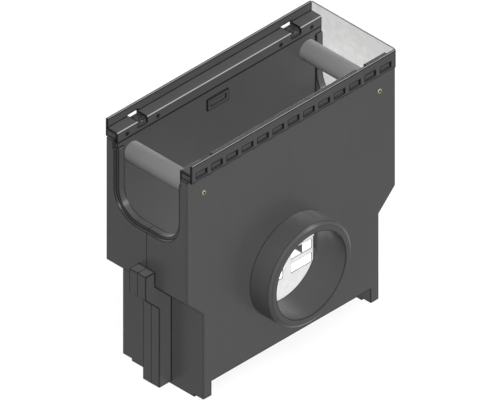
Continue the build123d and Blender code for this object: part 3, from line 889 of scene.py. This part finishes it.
class INLETBOX_OT_screws(bpy.types.Operator):
    """Makes the four strut screws with a hexagon socket and a cut thread"""

    bl_idname = "inletbox.screws"
    bl_label = "Strut screws"

    def execute(self, context):
        sizes = context.scene.inlet_box_fittings
        columns, thread_rings = 36, 140
        mouth, crown_hole, tip_flat = 1.08, 0.5, 0.35  # times the radius of the socket, head and shank
        angle = around(columns)
        # the socket's radius at the angle f is half its width over cos(f mod 60 degrees - 30 degrees)
        hexagon = (sizes.screw_socket / 2) / np.cos(np.mod(angle, pi / 3) - pi / 6)
        socket = np.stack([hexagon, hexagon, hexagon * mouth])
        for end in ENDS:
            for side_name, side in SIDES.items():
                node = f"strut_screw_{end}_{side_name}"
                start, length, _ = outer_end(node, side)
                shank, head = sizes.screw_shank / 2, sizes.screw_crown / 2
                corners = [(0.0, head * crown_hole), (0.0, head), (sizes.screw_head, head),
                           (sizes.screw_head, shank)]
                crown = rounded(corners, (0.0, 0.0008, 0.0003, 0.0))
                thread_start, tip = sizes.screw_head + sizes.screw_pitch, sizes.screw_pitch
                depth = np.linspace(thread_start, length - tip, thread_rings)
                rings = turned(
                    np.vstack([[(sizes.socket_depth, 1.0), (0.0001, 1.0), (0.0, 1.0)], crown,
                               np.stack([depth, np.full(len(depth), shank)], -1),
                               [(length, shank * tip_flat)]]),
                    (0.0, 0.0, 0.0), 1, columns,
                )
                rings[:3, :, 0] = socket * np.cos(angle)
                rings[:3, :, 2] = socket * np.sin(angle)
                # the groove is a V that winds round once in each pitch and eases in over the first one
                first = 3 + len(crown)
                turns = np.mod(depth[:, None] / sizes.screw_pitch - angle / (2 * pi), 1.0)
                groove = 1.0 - np.abs(2 * turns - 1.0)
                ease = np.minimum(1.0, (depth[:, None] - thread_start) / sizes.screw_pitch)
                cut = 1.0 - sizes.screw_thread / shank * groove * ease
                rings[first:-1, :, 0] *= cut
                rings[first:-1, :, 2] *= cut
                rings = rings * (1.0, -side, 1.0) + np.array(start)
                # the socket's floor and walls, its first two rings, carry painted shade
                piece = skin(f"screw_{end}_{side_name}", rings, "caps", "straw_zinc", painted_shade=2)
                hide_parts(node)
        return {"FINISHED"}


class INLETBOX_OT_rivets(bpy.types.Operator):
    """Makes the hollow rivets of the lips, the studs of the locks and the rivets of the lugs"""

    bl_idname = "inletbox.rivets"
    bl_label = "Rivets and studs"

    # In each profile below, a point is its depth from the near end and its radius.

    def lip_rivet(self, node, side):
        """A hollow rivet with a rolled rim, its hole open to the inside of the box."""
        start, length, radius = outer_end(node, -side)
        corners = [(0.003, 0.0011), (0.0007, 0.0012), (0.0, 0.0018), (0.0, 0.0025), (0.0005, radius),
                   (length, radius), (length, radius * 0.3)]
        bends = (0.0, 0.0002, 0.0003, 0.0003, 0.0003, 0.0004, 0.0)
        return turned(rounded(corners, bends), start, side, columns=32)

    def lock_stud(self, node, side):
        """A shouldered stud with a low domed head and a round recess."""
        start, length, radius = outer_end(node, -side)
        head, shank = 0.0025, 0.002
        corners = [(0.0014, 0.0012), (0.0002, 0.0013), (0.0, 0.0016), (0.0004, radius), (head, radius),
                   (head, shank), (length, shank), (length, 0.0008)]
        bends = (0.0, 0.0, 0.0, 0.0005, 0.0002, 0.0, 0.0003, 0.0)
        return turned(rounded(corners, bends), start, side, columns=36)

    def lug_rivet(self, node, side):
        """A solid rivet with a low round head on both sides of the sheets."""
        start, length, radius = outer_end(node, side)
        head, shank = 0.0012, 0.002
        near = [(0.0, radius * 0.25), (0.0002, radius * 0.6), (head, radius), (head, shank)]
        corners = near + [(length - depth, wide) for depth, wide in reversed(near)]
        bends = (0.0, 0.001, 0.0002, 0.0, 0.0, 0.0002, 0.001, 0.0)
        return turned(rounded(corners, bends), start, -side, columns=32)

    def execute(self, context):
        # the last column: how many first rings carry painted shade, inside the lip rivets' holes
        kinds = (
            ("lip_rivet", "rivet", self.lip_rivet, "coating", "coated_steel", 9),
            ("lock_stud", "stud", self.lock_stud, "oiled_spring", "spring_steel", 0),
            ("lug_rivet", "lug_pin", self.lug_rivet, "plated", "rivet_steel", 0),
        )
        for start, short, shape, finish, slot, painted_shade in kinds:
            for node in sorted(name for name in frame["nodes"] if name.startswith(start)):
                side = SIDES["back" if "_back" in node else "front"]
                rings = shape(node, side)
                piece = skin(node.replace(start, short), rings, "caps", finish, painted_shade=painted_shade)
                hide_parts(node)
        return {"FINISHED"}


class INLETBOX_OT_handle(bpy.types.Operator):
    """Bends the bucket's wire handle, with a flattened head on both ends"""

    bl_idname = "inletbox.handle"
    bl_label = "Handle"

    def execute(self, context):
        sizes = context.scene.inlet_box_fittings
        centre, half = middle("bucket_handle")
        low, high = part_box("bucket_handle")
        wire = sizes.wire / 2
        pivot_x = low.x + half.z
        reach = high.x - wire
        tip, arm = half.y, sizes.arm_spread
        # the wire lies level, along a line p(s) in x and y: its skin is p + r (cos f across + sin f up)
        corners = [(pivot_x, -tip), (pivot_x, -arm), (reach, -arm),
                   (reach, arm), (pivot_x, arm), (pivot_x, tip)]
        bends = (0.0, sizes.pivot_bend, sizes.wire_bend, sizes.wire_bend, sizes.pivot_bend, 0.0)
        path = rounded(corners, bends, 14)
        head = half.z
        # a head's rows: how far each lies from the wire's end, and its radius
        rows = np.array([(0.0, head * 0.7), (0.0002, head * 0.92), (0.0006, head),
                         (sizes.wire_head - 0.0002, head), (sizes.wire_head, head * 0.94),
                         (sizes.wire_head, wire)])
        ends = np.stack([np.full(len(rows), pivot_x), -tip + rows[:, 0]], -1)
        line = np.vstack([ends, path[1:-1], (ends * (1.0, -1.0))[::-1]])
        radius = np.r_[rows[:, 1], np.full(len(path) - 2, wire), rows[::-1, 1]]
        step = np.diff(line, axis=0)
        along = np.r_[0.0, np.cumsum(np.linalg.norm(step, axis=1))]
        way = np.gradient(line, np.maximum.accumulate(along + np.arange(len(along)) * 1e-7), axis=0)
        way[:len(rows)] = (0.0, 1.0)
        way[-len(rows):] = (0.0, 1.0)
        way /= np.linalg.norm(way, axis=1, keepdims=True)
        angle = around(28)
        across = radius[:, None] * np.cos(angle)
        rings = np.empty((len(line), len(angle), 3))
        rings[..., 0] = line[:, None, 0] + way[:, None, 1] * across
        rings[..., 1] = line[:, None, 1] - way[:, None, 0] * across + centre.y
        rings[..., 2] = centre.z + radius[:, None] * np.sin(angle)
        lay = np.empty_like(rings)
        lay[..., 0], lay[..., 1] = wire * np.cos(angle), wire * np.sin(angle)
        lay[..., 2] = along[:, None]
        piece = skin("handle_wire", rings, "caps", "drawn_wire", "handle", lay=lay)
        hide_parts("bucket_handle")
        return {"FINISHED"}


class INLETBOX_OT_seams(bpy.types.Operator):
    """Runs the mould's parting seam down the middle of both ends"""

    bl_idname = "inletbox.seams"
    bl_label = "Mould seams"

    def execute(self, context):
        sizes = context.scene.inlet_box_fittings
        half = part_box("edge_rail_back")[1].x + REBATE_DEPTH
        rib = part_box("box_body")[1].x
        face = [(half, REBATE_FLOOR), (half, RIB_TOP), (rib, RIB_TOP), (rib, RIB_BEND),
                (rib - RIB_STEP, RIB_BEND - RIB_STEP), (rib - RIB_STEP, FOOT_BOTTOM)]
        inner = [(half - END_WALL, CHANNEL_FLOOR), (half - REBATE_DEPTH, CHANNEL_FLOOR),
                 (half - REBATE_DEPTH, REBATE_FLOOR)]
        # the skin is a flat ellipse carried along the line p(s): p + h cos f outwards + w / 2 sin f along Y
        angle = around(12)
        for name, end in ENDS.items():
            corners = (inner if name == "inlet" else []) + face
            line = rounded(corners, (0.0, *(SMALL_ROUND,) * (len(corners) - 2), 0.0), 4)
            way = np.gradient(line, axis=0)
            way /= np.linalg.norm(way, axis=1, keepdims=True)
            up = sizes.seam_height * np.cos(angle)
            rings = np.empty((len(line), len(angle), 3))
            rings[..., 0] = end * (line[:, None, 0] - way[:, None, 1] * up)
            rings[..., 1] = MIDDLE_Y + sizes.seam_width / 2 * np.sin(angle)
            rings[..., 2] = line[:, None, 1] + way[:, None, 0] * up
            skin(f"mould_seam_{name}", rings, "caps", "mould_seam")
        return {"FINISHED"}


class INLETBOX_OT_studio(bpy.types.Operator):
    """Lays the floor and sets the sky, the lamps and the camera"""

    bl_idname = "inletbox.studio"
    bl_label = "Studio"

    def seen(self, start):
        """1 for a ray from the camera or off a glossy surface, where the backdrop shows as it is."""
        path = start.node("ShaderNodeLightPath", {}, {})
        seen = [Signal(start.tree, path.socket.node.outputs[f"Is {ray} Ray"])
                for ray in ("Camera", "Glossy", "Transmission")]
        return (seen[0] + seen[1] + seen[2]).clamped()

    def floor(self, studio):
        """A flat square grid just below the feet: (u, v) goes to (u size, v size, -gap)."""
        gap = 0.0004
        steps = np.linspace(-0.5, 0.5, 9) * studio.floor_size
        x, y = np.meshgrid(steps, steps, indexing="ij")
        points = np.stack([x, y, np.full_like(x, -gap)], -1).reshape(-1, 3)
        index = np.arange(x.size).reshape(x.shape)
        corners = [index[:-1, :-1], index[1:, :-1], index[1:, 1:], index[:-1, 1:]]
        mesh = bpy.data.meshes.new("studio_floor")
        mesh.from_pydata(points.tolist(), [], np.stack(corners, -1).reshape(-1, 4).tolist())
        piece = placed("studio_floor", mesh)
        finish = Finish("studio_floor")
        # the floor sends little light back up to the box
        colour = self.seen(finish.start).blend(shade(studio.floor, 0.14), shade(studio.floor, 1.0))
        mesh.materials.append(finish.done(Base_Color=colour, Roughness=0.9, Specular_IOR_Level=0.0))

    def sky(self, studio):
        """Even light from all sides, and white where the backdrop is seen."""
        world = bpy.data.worlds.new("studio_sky")
        world.use_nodes = True
        bpy.context.scene.world = world
        start = Signal(world.node_tree)
        back = next(n for n in world.node_tree.nodes if n.type == "BACKGROUND")
        back.inputs["Color"].default_value = (1.0, 1.0, 1.0, 1.0)
        strength = studio.sky + self.seen(start) * (1.0 - studio.sky)
        world.node_tree.links.new(strength.socket, back.inputs["Strength"])

    def lamp(self, name, strength, towards, spread, shadow):
        """A far lamp that stands in the given direction, with its apparent size."""
        light = bpy.data.lights.new(name, "SUN")
        light.energy = strength
        light.angle = spread
        light.use_shadow = shadow
        placed(name, light).rotation_euler = Vector(towards).to_track_quat("Z", "Y").to_euler()

    def execute(self, context):
        studio = context.scene.inlet_box_studio
        self.floor(studio)
        self.sky(studio)
        # each direction is that in which the lamp stands, seen from the box
        self.lamp("key", studio.key, (-0.64, -0.585, 0.74), radians(12), False)
        self.lamp("glint", studio.glint, (0.577, -0.7, 0.4), radians(12), False)
        self.lamp("shade", studio.shade, (-0.46, -0.75, 1.3), radians(50), True)
        self.lamp("fill", studio.fill, (0.62, 0.78, 0.05), radians(30), False)
        camera = placed("camera", bpy.data.cameras.new("camera"))
        camera.data.type = "ORTHO"
        camera.data.ortho_scale = studio.width
        camera.data.clip_end = 30.0
        turn, rise = studio.azimuth, studio.elevation
        back = Vector((sin(turn) * cos(rise), -cos(turn) * cos(rise), sin(rise)))
        camera.location = Vector(studio.aim) + back * studio.distance
        camera.rotation_euler = back.to_track_quat("Z", "Y").to_euler()
        context.scene.camera = camera
        context.scene.view_settings.view_transform = "Standard"
        return {"FINISHED"}


class INLETBOX_PT_panel(bpy.types.Panel):
    """Lists the pieces and their sizes"""

    bl_idname = "INLETBOX_PT_panel"
    bl_label = "Inlet Box"
    bl_space_type = "VIEW_3D"
    bl_region_type = "UI"
    bl_category = "Inlet Box"

    def draw(self, context):
        scene = context.scene
        for operator in OPERATORS:
            self.layout.operator(operator.bl_idname)
        for group_name, group in GROUPS.items():
            box = self.layout.box()
            for name in group.__annotations__:
                box.prop(getattr(scene, group_name), name)


OPERATORS = (
    INLETBOX_OT_finishes,
    INLETBOX_OT_rails,
    INLETBOX_OT_outlet,
    INLETBOX_OT_struts,
    INLETBOX_OT_screws,
    INLETBOX_OT_rivets,
    INLETBOX_OT_handle,
    INLETBOX_OT_seams,
    INLETBOX_OT_studio,
)
GROUPS = {
    "inlet_box_rails": RailSizes,
    "inlet_box_outlet": OutletSizes,
    "inlet_box_fittings": FittingSizes,
    "inlet_box_colours": FinishColours,
    "inlet_box_studio": StudioSettings,
}


def register():
    """Registers the classes and puts the groups of sizes on the scene."""
    for item in (*GROUPS.values(), *OPERATORS, INLETBOX_PT_panel):
        bpy.utils.register_class(item)
    for name, group in GROUPS.items():
        setattr(bpy.types.Scene, name, bpy.props.PointerProperty(type=group))


def unregister():
    """Takes all of that off again."""
    for name in GROUPS:
        delattr(bpy.types.Scene, name)
    for item in (INLETBOX_PT_panel, *reversed(OPERATORS), *GROUPS.values()):
        bpy.utils.unregister_class(item)


def main():
    """Makes every piece in order."""
    register()
    bpy.ops.inletbox.finishes()
    bpy.ops.inletbox.rails()
    bpy.ops.inletbox.outlet()
    bpy.ops.inletbox.struts()
    bpy.ops.inletbox.screws()
    bpy.ops.inletbox.rivets()
    bpy.ops.inletbox.handle()
    bpy.ops.inletbox.seams()
    bpy.ops.inletbox.studio()


if __name__ == "__main__":
    main()
